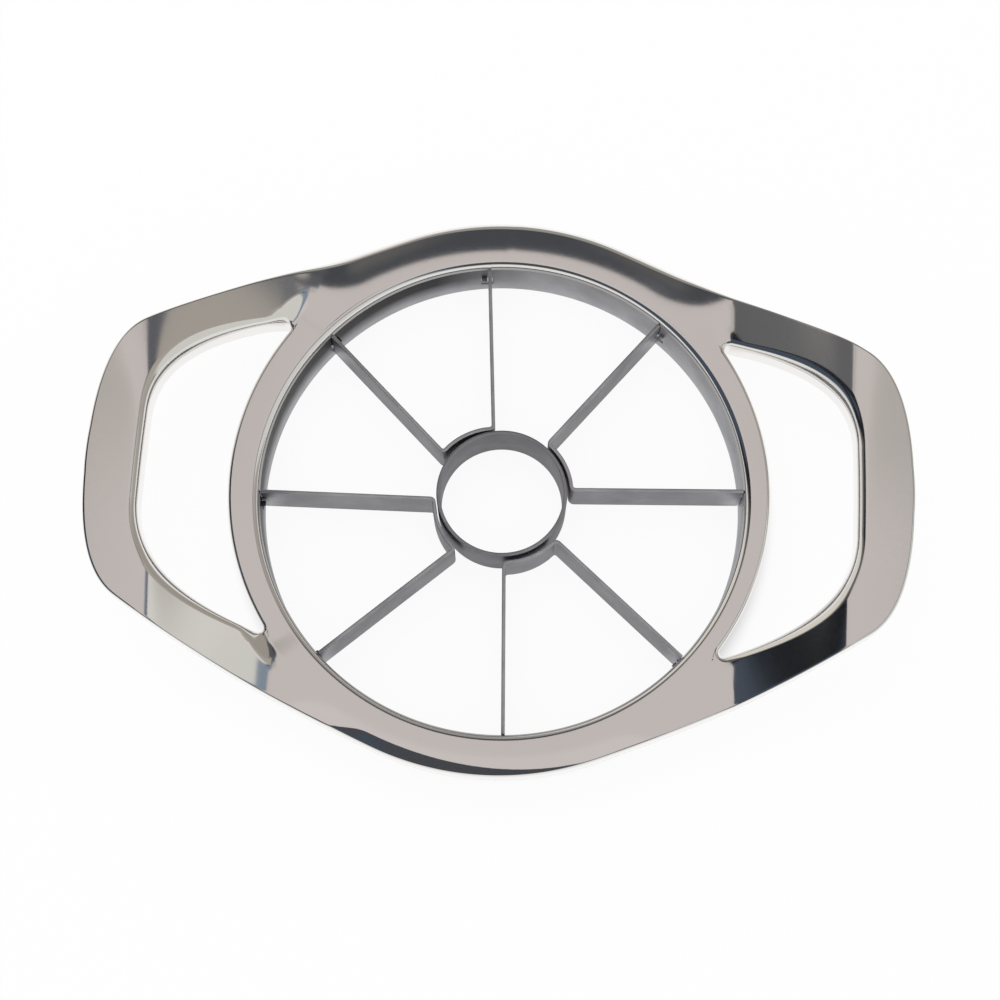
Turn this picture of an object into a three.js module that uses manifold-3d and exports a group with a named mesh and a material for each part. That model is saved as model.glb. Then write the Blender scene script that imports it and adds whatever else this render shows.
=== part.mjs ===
// Apple slicer: a polished cast frame with two raised loop handles, carrying a
// satin steel blade ring, four bent blade strips (two spokes each) and a core ring.
// Units are millimetres, +Z is up, +X runs through the handles. The origin is in the middle
// of the frame's outline, at the level of the blade ring's lower edge, on which it stands.

import * as THREE from 'three';
import { mergeGeometries, mergeVertices } from 'three/addons/utils/BufferGeometryUtils.js';
import Module from 'manifold-3d';

// Plan of the frame: the bore's lip, the metal round it and beside the hand holes, the handles
const boreRadius = 50;
const boreCentreX = 0.65;
const boreCentreY = -1.2;
const ringWidth = 9.7;
const ringSideWidth = 6;
const handleReach = 23.5;
const gripWidth = 11.35;

// Heights: the frame's flat top face stands this far above the ring's lower edge
const faceHeight = 12.3;
const frameThickness = 6;
const handleRise = 10.8;
const armFootInset = 13.8;
const armTopInset = 12;
const bendSoftness = 3;
const ringToArmBlend = 6;

// The ring's outer edge sinks a little behind and in front, between these angles from +X
const crownDrop = 0.5;
const crownEndAngle = 43;
const crownFullAngle = 59;

// Edge roundings of the frame
const topFillet = 1.2;
const boreFillet = 1.3;
const underChamfer = 0.8;

// Outer outline of one quarter: ring arc, gently curved arm, soft corner, grip end.
// Insets are measured from the grip's outer end, shares are of the ring's outer radius.
const ringArcEndAngle = 67.6;
const armBendShare = 0.617;
const armEndInset = 8.9;
const armEndShare = 0.4935;
const cornerInset = 0.95;
const gripFlatInset = 0.2;
const gripFlatY = 5;

// Hand hole of one quarter: ring side arc, small apex rounding, then one long bend along the
// arm into the grip edge. It leaves the apex along a line at this angle through a point given
// by an inset from the grip's inner edge and a share of the ring's outer radius.
const apexRadius = 1;
const armEdgeAngle = 17.3;
const armEdgeInset = 11.85;
const armEdgeShare = 0.49;
const holeCornerInset = 0.05;
const holeGripInset = 0.1;
const holeGripY = 8.7;

// Where the rungs of the top face meet the outline's arm curve, as shares of that curve
const apexEndShare = 0.45;
const apexStartShare = 0.3;

// Blade ring: a rolled strip seated under the frame's lip
const lipThickness = 1.8;
const ringWall = 0.75;
const ringReveal = 0.15;
const seatGap = 0.2;
const ringEdgeBevel = 0.25;

// Blade strips: thickness, sharpened lower edge, and their place in the ring
const bladeThickness = 0.75;
const bladeTopDrop = 1;
const bladeEdgeLift = 0.2;
const bladeBevelHeight = 1.2;
const bladeEdgeThickness = 0.2;
const bladeEndGap = 0.3;
const hubBendRadius = 0.9;

// Each strip lies against the core ring between two hub angles, a little proud of it
// at each end, and runs out to the blade ring at two rim angles (degrees from +X).
const strips = [
  { name: 'blade_strip_back', rim: [96, 139.1], hub: [100.1, 147.3], proud: [0, 1] },
  { name: 'blade_strip_left', rim: [182.7, 225.4], hub: [188.1, 233.8], proud: [0, 1.3] },
  { name: 'blade_strip_front', rim: [273.3, 319.5], hub: [274.7, 320.7], proud: [0.7, 1] },
  { name: 'blade_strip_right', rim: [3.4, 51.1], hub: [5.6, 50.9], proud: [0.4, 0.3] },
];

// Core ring: the small rolled ring that cuts out the core
const coreInnerRadius = 12.75;
const coreWall = 0.8;
const coreTopDrop = 1.2;
const coreGap = 0.15;

// Tongues at the spoke ends, the slots that take them and the flap folded in over each slot
const tongueHeight = 2.4;
const tongueCentreHeight = 4.4;
const tongueOverlap = 1;
const tongueThickness = 0.7;
const slotClearance = 0.3;
const slotRun = 1.2;
const flapLength = 1.1;
const flapThickness = 0.45;
const flapReach = 0.8;
const cutOverrun = 1;

// Facets
const ringSideSteps = 9;
const ringArcSteps = 6;
const outerArmSteps = 9;
const apexSteps = 4;
const armSteps = 6;
const cornerSteps = 6;
const gripSteps = 3;
const faceColumns = 2;
const filletSteps = 2;
const latheSteps = 96;
const coreSteps = 56;
const hubArcSteps = 8;
const hubBendSteps = 3;

// Sizes worked out from the ones above
const ringOuterRadius = boreRadius + ringWidth;
const handHoleRingRadius = boreRadius + ringSideWidth;
const halfLength = ringOuterRadius + handleReach;
const holeEndX = halfLength - gripWidth;
const armFootX = ringOuterRadius - armFootInset;
const armTopX = halfLength - armTopInset;
const seatTop = faceHeight - lipThickness;
const ringInnerRadius = boreRadius + ringReveal;
const ringOuterWall = ringInnerRadius + ringWall;
const seatRadius = ringOuterWall + seatGap;
const ringTop = seatTop - seatGap;
const bladeTop = faceHeight - bladeTopDrop;
const bladeEndRadius = ringInnerRadius - bladeEndGap;
const coreOuterRadius = coreInnerRadius + coreWall;
const hubArcRadius = coreOuterRadius + coreGap + bladeThickness / 2;
const slotHalfHeight = tongueHeight / 2 + slotClearance;
const slotTop = tongueCentreHeight + slotHalfHeight;
const boreCentre = new THREE.Vector2(boreCentreX, boreCentreY);
const degree = Math.PI / 180;

const wasm = await Module();
wasm.setup();

// Materials
const polished = new THREE.MeshStandardMaterial({ color: 0xbeb8b3, roughness: 0.12, metalness: 1 });
const satin = new THREE.MeshStandardMaterial({ color: 0xa3a3a8, roughness: 0.35, metalness: 1 });

// Small helpers for meshes and solids

/** Turns a grid of points into triangles; flip reverses the side that faces out. */
function patch(rows, flip = false) {
  const positions = [];
  const corner = (point) => positions.push(point.x, point.y, point.z);
  for (let i = 0; i + 1 < rows.length; i += 1) {
    for (let j = 0; j + 1 < rows[i].length; j += 1) {
      const quad = [rows[i][j], rows[i][j + 1], rows[i + 1][j + 1], rows[i + 1][j]];
      const order = flip ? [0, 2, 1, 0, 3, 2] : [0, 1, 2, 0, 2, 3];
      order.forEach((k) => corner(quad[k]));
    }
  }
  const geometry = new THREE.BufferGeometry();
  geometry.setAttribute('position', new THREE.Float32BufferAttribute(positions, 3));
  return geometry;
}

/** Joins patches that share their edge points into one closed geometry. */
function weld(patches) {
  return mergeVertices(mergeGeometries(patches));
}

/** Reads a closed geometry as a manifold solid. */
function toSolid(geometry) {
  const bare = geometry.clone();
  bare.deleteAttribute('normal');
  bare.deleteAttribute('uv');
  const merged = mergeVertices(bare);
  return new wasm.Manifold(new wasm.Mesh({
    numProp: 3,
    vertProperties: new Float32Array(merged.attributes.position.array),
    triVerts: new Uint32Array(merged.index.array),
  }));
}

/** Gives a manifold solid back as a geometry. */
function toGeometry(solid) {
  const mesh = solid.getMesh();
  const geometry = new THREE.BufferGeometry();
  geometry.setAttribute('position', new THREE.Float32BufferAttribute(mesh.vertProperties, 3));
  geometry.setIndex(new THREE.Uint32BufferAttribute(mesh.triVerts, 1));
  geometry.computeVertexNormals();
  return geometry;
}

function smooth(value, low, high) {
  return THREE.MathUtils.smoothstep(value, low, high);
}

function polar(radius, angle) {
  return new THREE.Vector2(radius * Math.cos(angle), radius * Math.sin(angle));
}

/** Plan points along a curve, moved to its right, without the last so that curves can be chained. */
function along(curve, steps, distance = 0) {
  return Array.from({ length: steps }, (_, i) => {
    const point = curve.getPoint(i / steps);
    const run = curve.getTangent(i / steps);
    return new THREE.Vector2(point.x + run.y * distance, point.y - run.x * distance);
  });
}

/** A curve that leaves the X axis square and ends at a point a little nearer to the middle. */
function gripCurve(startX, end) {
  const start = new THREE.Vector2(startX, 0);
  return new THREE.QuadraticBezierCurve(start, new THREE.Vector2(startX, end.y / 2), end);
}

/** Completes the quarter from the +X axis to the +Y axis into a closed loop. */
function fourfold(quarter) {
  const mirrored = (points, sx, sy) => points.map((p) => new THREE.Vector2(p.x * sx, p.y * sy));
  const back = [...quarter].reverse();
  return [
    ...quarter.slice(0, -1),
    ...mirrored(back, -1, 1).slice(0, -1),
    ...mirrored(quarter, -1, -1).slice(0, -1),
    ...mirrored(back, 1, -1).slice(0, -1),
  ];
}

/** Moves each point of an anticlockwise loop to its left by a distance, square to the loop. */
function inset(loop, distance) {
  return loop.map((point, i) => {
    const before = loop[(i + loop.length - 1) % loop.length];
    const after = loop[(i + 1) % loop.length];
    const run = new THREE.Vector2().subVectors(after, before).normalize();
    return new THREE.Vector2(point.x - run.y * distance, point.y + run.x * distance);
  });
}

/** Repeats the first point at the end, so that a patch closes on itself. */
function closed(points) {
  return [...points, points[0]];
}

// Frame: the shape of its top and underside

/** A ramp that starts softly: zero well below zero, equal to t well above it. */
function softRamp(t) {
  return (t + Math.hypot(t, bendSoftness)) / 2;
}

/** How far the handles have risen at a place in the plan; the ring itself stays level. */
function lift(x, y) {
  const reach = Math.abs(x);
  const slope = handleRise / (armTopX - armFootX);
  const risen = slope * (softRamp(reach - armFootX) - softRamp(reach - armTopX));
  const offRing = Math.hypot(x, y) - handHoleRingRadius;
  return risen * smooth(offRing, 0, ringToArmBlend);
}

/** How far the top face has dropped at the outline: only the ring slopes, the handles are flat. */
function crown(plan) {
  const angle = Math.atan2(Math.abs(plan.y), Math.abs(plan.x)) / degree;
  return crownDrop * smooth(angle, crownEndAngle, crownFullAngle);
}

function topPoint(plan, drop = 0, share = 0) {
  const z = faceHeight + lift(plan.x, plan.y) - drop - crown(plan) * share ** 2;
  return new THREE.Vector3(plan.x, plan.y, z);
}

function underPoint(plan, rise = 0) {
  const z = faceHeight - frameThickness + lift(plan.x, plan.y) + rise;
  return new THREE.Vector3(plan.x, plan.y, z);
}

// Frame: its outlines in the plan

function outlineQuarter() {
  const startAngle = ringArcEndAngle * degree;
  const ringArcEnd = polar(ringOuterRadius, startAngle);
  const bendReach = armBendShare * ringOuterRadius;
  const armBend = polar(bendReach, startAngle - Math.PI / 2).add(ringArcEnd);
  const armEnd = new THREE.Vector2(halfLength - armEndInset, armEndShare * ringOuterRadius);
  const slope = (armEnd.y - armBend.y) / (armEnd.x - armBend.x);
  const cornerX = halfLength - cornerInset;
  const corner = new THREE.Vector2(cornerX, armEnd.y + slope * (cornerX - armEnd.x));
  const gripFlat = new THREE.Vector2(halfLength - gripFlatInset, gripFlatY);
  const grip = gripCurve(halfLength, gripFlat);
  const bend = new THREE.QuadraticBezierCurve(gripFlat, corner, armEnd);
  const arm = new THREE.QuadraticBezierCurve(armEnd, armBend, ringArcEnd);
  const armShares = (from, to, steps) => Array.from({ length: steps }, (_, i) => (
    arm.getPoint(1 - from - (to - from) * (i / steps))
  ));
  const arc = Array.from({ length: ringArcSteps + 1 }, (_, i) => (
    polar(ringOuterRadius, startAngle + (Math.PI / 2 - startAngle) * (i / ringArcSteps))
  ));
  return [
    ...along(grip, gripSteps),
    ...along(bend, cornerSteps),
    ...armShares(1, apexEndShare, armSteps),
    ...armShares(apexEndShare, apexStartShare, apexSteps),
    ...armShares(apexStartShare, 0, outerArmSteps),
    ...arc,
  ];
}

/** A point on the line along which the hand hole's arm edge leaves the apex. */
function armEdgePoint() {
  return new THREE.Vector2(holeEndX - armEdgeInset, armEdgeShare * ringOuterRadius);
}

/** The apex rounding touches the ring side arc and the arm edge; this finds its centre and ends. */
function apexRounding() {
  const run = polar(1, -armEdgeAngle * degree);
  const normal = new THREE.Vector2(-run.y, run.x);
  const distance = normal.dot(armEdgePoint()) - apexRadius;
  const centreRadius = handHoleRingRadius + apexRadius;
  const alongRun = Math.sqrt(centreRadius ** 2 - distance ** 2);
  const centre = normal.clone().multiplyScalar(distance).addScaledVector(run, alongRun);
  return {
    centre,
    ringAngle: centre.angle(),
    armPoint: centre.clone().addScaledVector(normal, apexRadius),
    armAngle: normal.angle(),
  };
}

const apex = apexRounding();

/** Grip side and arm side of the hand hole, from the +X axis round the apex, grown by a distance. */
function holeArmQuarter(grown) {
  const onEdge = armEdgePoint();
  const gripEdge = new THREE.Vector2(holeEndX - holeGripInset, holeGripY);
  const cornerX = holeEndX - holeCornerInset;
  const slope = -Math.tan(armEdgeAngle * degree);
  const corner = new THREE.Vector2(cornerX, onEdge.y + slope * (cornerX - onEdge.x));
  const arm = new THREE.QuadraticBezierCurve(gripEdge, corner, apex.armPoint);
  const turn = apex.ringAngle + Math.PI - apex.armAngle;
  const rounding = Array.from({ length: apexSteps + 1 }, (_, i) => (
    polar(apexRadius + grown, apex.armAngle + turn * (i / apexSteps)).add(apex.centre)
  ));
  return [
    ...along(gripCurve(holeEndX, gripEdge), gripSteps, grown),
    ...along(arm, cornerSteps + armSteps, grown),
    ...rounding,
  ];
}

/** Points of a circle at the polar angles that the ring's face shares with hand holes and outline. */
function ringCircleQuarter(radius) {
  const arcSteps = ringArcSteps + outerArmSteps;
  const side = Array.from({ length: ringSideSteps }, (_, i) => (
    polar(radius, apex.ringAngle * (i / ringSideSteps))
  ));
  const arc = Array.from({ length: arcSteps + 1 }, (_, i) => (
    polar(radius, apex.ringAngle + (Math.PI / 2 - apex.ringAngle) * (i / arcSteps))
  ));
  return [...side, ...arc];
}

/** One whole hand hole on the +X side, anticlockwise, grown all round by a distance. */
function holeLoop(grown) {
  const armSide = holeArmQuarter(grown);
  const ringSide = ringCircleQuarter(handHoleRingRadius - grown).slice(0, ringSideSteps);
  const below = (points) => points.slice(1).map((p) => new THREE.Vector2(p.x, -p.y));
  return [
    ...armSide,
    ...[...ringSide].reverse(),
    ...below(ringSide),
    ...below(armSide).reverse(),
  ];
}

// Frame: its faces, walls and bore, each as patches of one skin

/** The level band from the bore's edge to a circle inside the hand holes. */
function ringBand(innerRadius, outerRadius, point, flip) {
  const inner = fourfold(ringCircleQuarter(innerRadius)).map((p) => point(p.add(boreCentre)));
  const outer = fourfold(ringCircleQuarter(outerRadius)).map((p) => point(p));
  return patch([closed(inner), closed(outer)], flip);
}

/** The outer band, from the hand holes and the ring circle between them to the outline. */
function outerBand(edge, point, flip) {
  const arc = ringCircleQuarter(handHoleRingRadius - edge).slice(ringSideSteps);
  const inner = fourfold([...holeArmQuarter(edge).slice(0, -1), ...arc]);
  const outline = inset(fourfold(outlineQuarter()), edge);
  const rows = Array.from({ length: faceColumns + 1 }, (_, i) => {
    const share = i / faceColumns;
    return closed(inner.map((p, k) => point(p.clone().lerp(outline[k], share), share)));
  });
  return patch(rows, flip);
}

/** Rounded top edge, wall and chamfered lower edge; loopAt gives the edge loop set back into the face. */
function edgeSkin(loopAt, share, flip) {
  const rows = [];
  for (let i = 0; i <= filletSteps; i += 1) {
    const angle = (Math.PI / 2) * (i / filletSteps);
    const back = topFillet * (1 - Math.sin(angle));
    const drop = topFillet * (1 - Math.cos(angle));
    rows.push(loopAt(back).map((p) => topPoint(p, drop, share)));
  }
  rows.push(loopAt(0).map((p) => underPoint(p, underChamfer)));
  rows.push(loopAt(underChamfer).map((p) => underPoint(p)));
  return patch(rows.map(closed), flip);
}

/** Rounded bore edge, lip, seat for the blade ring and its lower chamfer. */
function boreSkin() {
  const profile = [];
  for (let i = 0; i <= filletSteps; i += 1) {
    const angle = (Math.PI / 2) * (i / filletSteps);
    const radius = boreRadius + boreFillet * (1 - Math.sin(angle));
    profile.push([radius, faceHeight - boreFillet * (1 - Math.cos(angle))]);
  }
  const under = faceHeight - frameThickness;
  profile.push([boreRadius, seatTop], [seatRadius, seatTop]);
  profile.push([seatRadius, under + underChamfer], [seatRadius + underChamfer, under]);
  const rows = profile.map(([radius, z]) => (
    fourfold(ringCircleQuarter(radius)).map((p) => new THREE.Vector3(p.x + boreCentreX, p.y + boreCentreY, z))
  ));
  return patch(rows.map(closed), false);
}

function frameGeometry() {
  const rightHole = (grown) => holeLoop(grown);
  const leftHole = (grown) => holeLoop(grown).map((p) => new THREE.Vector2(-p.x, -p.y));
  const outline = (back) => inset(fourfold(outlineQuarter()), back);
  return weld([
    ringBand(boreRadius + boreFillet, handHoleRingRadius - topFillet, (p) => topPoint(p), true),
    outerBand(topFillet, (p, share) => topPoint(p, 0, share), true),
    ringBand(seatRadius + underChamfer, handHoleRingRadius - underChamfer, (p) => underPoint(p), false),
    outerBand(underChamfer, (p) => underPoint(p), false),
    edgeSkin(outline, 1, true),
    edgeSkin(rightHole, 0, false),
    edgeSkin(leftHole, 0, false),
    boreSkin(),
  ]);
}

// Blade ring and core ring

/** A rolled strip: a closed ring with a plain top edge and a bevelled lower edge outside. */
function rolledRing(innerRadius, outerRadius, bottom, top, bevel, steps) {
  const profile = [
    new THREE.Vector2(innerRadius, bottom),
    new THREE.Vector2(outerRadius - bevel, bottom),
    new THREE.Vector2(outerRadius, bottom + bevel),
    new THREE.Vector2(outerRadius, top),
    new THREE.Vector2(innerRadius, top),
    new THREE.Vector2(innerRadius, bottom),
  ];
  const geometry = new THREE.LatheGeometry(profile, steps);
  geometry.rotateX(Math.PI / 2);
  return geometry;
}

/** A box of given sizes along the radius, across it and upwards, centred at a polar place. */
function radialBox(sizes, radius, across, height, angle) {
  const geometry = new THREE.BoxGeometry(sizes.radial, sizes.across, sizes.up);
  geometry.translate(radius, across, height);
  geometry.rotateZ(angle);
  return geometry;
}

/** The ring, with a slot and a folded flap at each spoke end, both towards the strip's other spoke. */
function bladeRingGeometry() {
  let solid = toSolid(rolledRing(ringInnerRadius, ringOuterWall, 0, ringTop, ringEdgeBevel, latheSteps));
  const slotWidth = bladeThickness + 2 * slotClearance + slotRun;
  const slotSizes = { radial: ringWall + 2 * cutOverrun, across: slotWidth, up: 2 * slotHalfHeight };
  const flapRadial = flapReach + ringWall / 2;
  const flapSizes = { radial: flapRadial, across: flapLength, up: flapThickness };
  const slotStart = -bladeThickness / 2 - slotClearance;
  const flapStart = bladeThickness / 2 + slotClearance;
  strips.forEach(({ rim }) => {
    rim.forEach((angle, i) => {
      const inward = i === 0 ? 1 : -1;
      const turn = angle * degree;
      const slotAcross = inward * (slotStart + slotWidth / 2);
      const slotRadius = ringInnerRadius + ringWall / 2;
      const slot = radialBox(slotSizes, slotRadius, slotAcross, tongueCentreHeight, turn);
      const flapRadius = ringInnerRadius + ringWall / 2 - flapRadial / 2;
      const flapAcross = inward * (flapStart + flapLength / 2);
      const flap = radialBox(flapSizes, flapRadius, flapAcross, slotTop + flapThickness / 2, turn);
      solid = solid.subtract(toSolid(slot)).add(toSolid(flap));
    });
  });
  return toGeometry(solid);
}

function coreRingGeometry() {
  const top = faceHeight - coreTopDrop;
  return rolledRing(coreInnerRadius, coreOuterRadius, bladeEdgeLift, top, ringEdgeBevel, coreSteps);
}

// Blade strips

/** Rounds the corner at a point between its neighbours and returns the points of the bend. */
function bendPoints(before, corner, after) {
  const toBefore = new THREE.Vector2().subVectors(before, corner).normalize();
  const toAfter = new THREE.Vector2().subVectors(after, corner).normalize();
  const start = corner.clone().addScaledVector(toBefore, hubBendRadius);
  const end = corner.clone().addScaledVector(toAfter, hubBendRadius);
  return new THREE.QuadraticBezierCurve(start, corner, end).getPoints(hubBendSteps);
}

/** The strip's mid line in the plan: in along one spoke, round the core ring, out along the other. */
function stripPath({ rim, hub, proud }) {
  const arc = Array.from({ length: hubArcSteps + 1 }, (_, i) => {
    const share = i / hubArcSteps;
    const radius = hubArcRadius + THREE.MathUtils.lerp(proud[0], proud[1], share);
    return polar(radius, THREE.MathUtils.lerp(hub[0], hub[1], share) * degree);
  });
  const first = polar(bladeEndRadius, rim[0] * degree);
  const last = polar(bladeEndRadius, rim[1] * degree);
  return [
    first,
    ...bendPoints(first, arc[0], arc[1]),
    ...arc.slice(1, -1),
    ...bendPoints(arc[hubArcSteps - 1], arc[hubArcSteps], last),
    last,
  ];
}

/** Points beside an open path, at a distance to its left, mitred at each corner. */
function beside(path, distance) {
  return path.map((point, i) => {
    const before = path[Math.max(i - 1, 0)];
    const after = path[Math.min(i + 1, path.length - 1)];
    const inRun = new THREE.Vector2().subVectors(i > 0 ? point : after, i > 0 ? before : point).normalize();
    const outRun = new THREE.Vector2().subVectors(i + 1 < path.length ? after : point,
      i + 1 < path.length ? point : before).normalize();
    const run = inRun.clone().add(outRun).normalize();
    const mitre = distance / run.dot(inRun);
    return new THREE.Vector2(point.x - run.y * mitre, point.y + run.x * mitre);
  });
}

/** A strip stood on edge along its path, ground to a thin edge below, with a tongue at each end. */
function stripGeometry(strip) {
  const path = stripPath(strip);
  const levels = [
    { z: bladeEdgeLift, half: bladeEdgeThickness / 2 },
    { z: bladeEdgeLift + bladeBevelHeight, half: bladeThickness / 2 },
    { z: bladeTop, half: bladeThickness / 2 },
  ];
  const wall = (side) => levels.map(({ z, half }) => (
    beside(path, side * half).map((p) => new THREE.Vector3(p.x, p.y, z))
  ));
  const left = wall(1);
  const right = wall(-1);
  const last = path.length - 1;
  const end = (k) => [left.map((row) => row[k]), right.map((row) => row[k])];
  const body = weld([
    patch(left, true),
    patch(right, false),
    patch([left[0], right[0]], false),
    patch([left[2], right[2]], true),
    patch(end(0), true),
    patch(end(last), false),
  ]);
  let solid = toSolid(body);
  const sizes = {
    radial: ringOuterWall - bladeEndRadius + tongueOverlap, across: tongueThickness, up: tongueHeight,
  };
  const middle = (ringOuterWall - bladeEndRadius - tongueOverlap) / 2;
  [[path[0], path[1]], [path[last], path[last - 1]]].forEach(([rimEnd, inner]) => {
    const direction = new THREE.Vector2().subVectors(rimEnd, inner).angle();
    const tongue = radialBox(sizes, middle, 0, tongueCentreHeight, direction);
    tongue.translate(rimEnd.x, rimEnd.y, 0);
    solid = solid.add(toSolid(tongue));
  });
  return toGeometry(solid);
}

// The slicer

const slicer = new THREE.Group();

/** Adds a named piece; the pieces of the cutter are drawn about the bore axis and moved there. */
function addPiece(name, geometry, material, centre = new THREE.Vector2()) {
  geometry.translate(centre.x, centre.y, 0);
  const mesh = new THREE.Mesh(geometry, material);
  mesh.name = name;
  slicer.add(mesh);
}

addPiece('frame', frameGeometry(), polished);
addPiece('blade_ring', bladeRingGeometry(), satin, boreCentre);
addPiece('core_ring', coreRingGeometry(), satin, boreCentre);
strips.forEach((strip) => addPiece(strip.name, stripGeometry(strip), satin, boreCentre));

export default slicer;
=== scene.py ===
"""Dresses the apple slicer: a polished cast frame with two raised loop handles, which
holds a satin blade ring, four bent blade strips and a core ring. The slicer's sizes are
in millimetres and turned into metres as each point is made."""

import logging
import math
from dataclasses import dataclass, field
from enum import Enum

import bmesh
import bpy
from mathutils import Matrix, Vector


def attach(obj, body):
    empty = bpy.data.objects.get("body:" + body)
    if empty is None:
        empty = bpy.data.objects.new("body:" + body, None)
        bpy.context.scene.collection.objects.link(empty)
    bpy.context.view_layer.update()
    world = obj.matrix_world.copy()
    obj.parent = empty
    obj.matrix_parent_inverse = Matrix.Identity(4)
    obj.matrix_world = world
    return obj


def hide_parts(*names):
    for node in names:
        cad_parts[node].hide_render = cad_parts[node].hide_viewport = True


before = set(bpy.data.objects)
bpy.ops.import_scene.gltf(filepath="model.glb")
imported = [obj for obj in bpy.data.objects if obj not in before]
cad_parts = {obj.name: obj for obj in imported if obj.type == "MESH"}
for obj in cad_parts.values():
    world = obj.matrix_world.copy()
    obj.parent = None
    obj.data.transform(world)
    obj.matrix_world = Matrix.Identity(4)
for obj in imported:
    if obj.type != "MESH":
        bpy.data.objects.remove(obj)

MM = 0.001
FULL_TURN = 2 * math.pi
QUARTER_TURN = math.pi / 2
WHITE = (1, 1, 1, 1)

# Middle of the bore in the plan, and the height of the face that surrounds it.
BORE_CENTRE = Vector((0.65, -1.2, 0.0))
FACE_HEIGHT = 12.3

# Points this close are welded, in metres.
WELD_DISTANCE = 1e-6

# Distance from the outline, for points well inside the frame's face.
WELL_INSIDE = 99.0

# Most of a noise pattern's values lie between these.
NOISE_SPAN = (0.3, 0.7)

# Points, and points with a direction each. A stretch says where something begins, is full,
# eases off and ends.
Row = list[Vector]
Guided = list[tuple[Vector, Vector]]
Span = tuple[float, float]
Stretch = tuple[float, float, float, float]
Axes = tuple[float, float, float]
Colour = tuple[float, float, float]
BMesh = bmesh.types.BMesh
Material = bpy.types.Material
Socket = bpy.types.NodeSocket

log = logging.getLogger("slicer")


class Slot(Enum):
    """The record's material slots."""

    POLISHED = "polished_metal"
    SATIN = "satin_steel"


class Loop(Enum):
    """Whether a line of points closes on itself."""

    OPEN = 0
    CLOSED = 1


class Face(Enum):
    """The two broad faces of the frame."""

    TOP = "top"
    UNDER = "underside"


class Side(Enum):
    """The two handles, by the sign of their X."""

    RIGHT = 1
    LEFT = -1


class Ease(Enum):
    """How a value passes from one end of a span to the other."""

    EVEN = "LINEAR"
    SOFT = "SMOOTHSTEP"


# Meshes


def skin(bm: BMesh, rows: list[Row], loop: Loop) -> None:
    """Draws the first row as edges and extrudes them through the other rows.

    Args:
        bm: mesh that receives the faces.
        rows: rows of equally many points, in millimetres.
        loop: whether each row closes on itself.
    """
    line = [bm.verts.new(point * MM) for point in rows[0]]
    ends = line[1:] + line[:1] if loop is Loop.CLOSED else line[1:]
    edges = [bm.edges.new(pair) for pair in zip(line, ends)]
    for row in rows[1:]:
        grown = bmesh.ops.extrude_edge_only(bm, edges=edges)["geom"]
        fresh = {item for item in grown if isinstance(item, bmesh.types.BMVert)}
        follow = {}
        for vert in fresh:
            for edge in vert.link_edges:
                if edge.other_vert(vert) not in fresh:
                    follow[edge.other_vert(vert)] = vert
        line = [follow[vert] for vert in line]
        for vert, point in zip(line, row):
            vert.co = point * MM
        edges = [item for item in grown
                 if isinstance(item, bmesh.types.BMEdge) and set(item.verts) <= fresh]


def close(bm: BMesh) -> None:
    """Welds the skins of a closed shell along their shared rows and turns its faces outwards."""
    bmesh.ops.remove_doubles(bm, verts=bm.verts[:], dist=WELD_DISTANCE)
    bmesh.ops.recalc_face_normals(bm, faces=bm.faces[:])


def shown(bm: BMesh, name: str, material: Material) -> bpy.types.Object:
    """Puts a mesh into the scene.

    Args:
        bm: finished mesh, which is freed here.
        name: name of its object.
        material: its finish.

    Returns:
        The new object.
    """
    mesh = bpy.data.meshes.new(name)
    bm.to_mesh(mesh)
    bm.free()
    mesh.materials.append(material)
    made = bpy.data.objects.new(name, mesh)
    bpy.context.scene.collection.objects.link(made)
    return made


def piece(bm: BMesh, name: str, material: Material, node: str) -> None:
    """Turns a mesh into a piece of the slicer that stands for a node of the model.

    Args:
        bm: finished mesh.
        name: name of the piece.
        material: finish of the piece.
        node: node of the model that the piece replaces.
    """
    for face in bm.faces:
        face.smooth = True
    made = shown(bm, name, material)
    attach(made, "root")
    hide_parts(node)
    log.info("%s: %d faces", name, len(made.data.polygons))


def polar(radius: float, angle: float) -> Vector:
    """A point of the plan at a radius and an angle in radians."""
    return Vector((radius * math.cos(angle), radius * math.sin(angle), 0.0))


def bend(start: Vector, corner: Vector, end: Vector, share: float) -> tuple[Vector, Vector]:
    """A point of a quadratic curve, and the curve's direction there.

    Args:
        start: first point of the curve.
        corner: point towards which it leaves and from which it arrives.
        end: last point of the curve.
        share: how far along the curve, from 0 to 1.

    Returns:
        The point and the unit direction.
    """
    point = start.lerp(corner, share).lerp(corner.lerp(end, share), share)
    run = (corner - start).lerp(end - corner, share)
    return point, run.normalized()


def curve(start: Vector, corner: Vector, end: Vector, steps: int) -> Guided:
    """Points of a quadratic curve in even steps, with their directions and without the last."""
    return [bend(start, corner, end, i / steps) for i in range(steps)]


def smooth(value: float, low: float, high: float) -> float:
    """A soft step from 0 at low to 1 at high."""
    share = min(max((value - low) / (high - low), 0.0), 1.0)
    return share * share * (3 - 2 * share)


def swell(value: float, stretch: Stretch) -> float:
    """A soft step from 0 up to 1 and down again, over a stretch."""
    begin, full, ease, end = stretch
    return smooth(value, begin, full) - smooth(value, ease, end)


def compass(point: Vector) -> float:
    """The direction of a point of the plan from the middle, from 0 to 360 degrees."""
    return math.degrees(math.atan2(point.y, point.x)) % 360


# Finishes


def linear(colour: Colour) -> tuple[float, float, float, float]:
    """A colour as a screen shows it, from 0 to 1, turned into linear light."""
    parts = [c / 12.92 if c <= 0.04045 else ((c + 0.055) / 1.055) ** 2.4 for c in colour]
    return (parts[0], parts[1], parts[2], 1.0)


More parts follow.
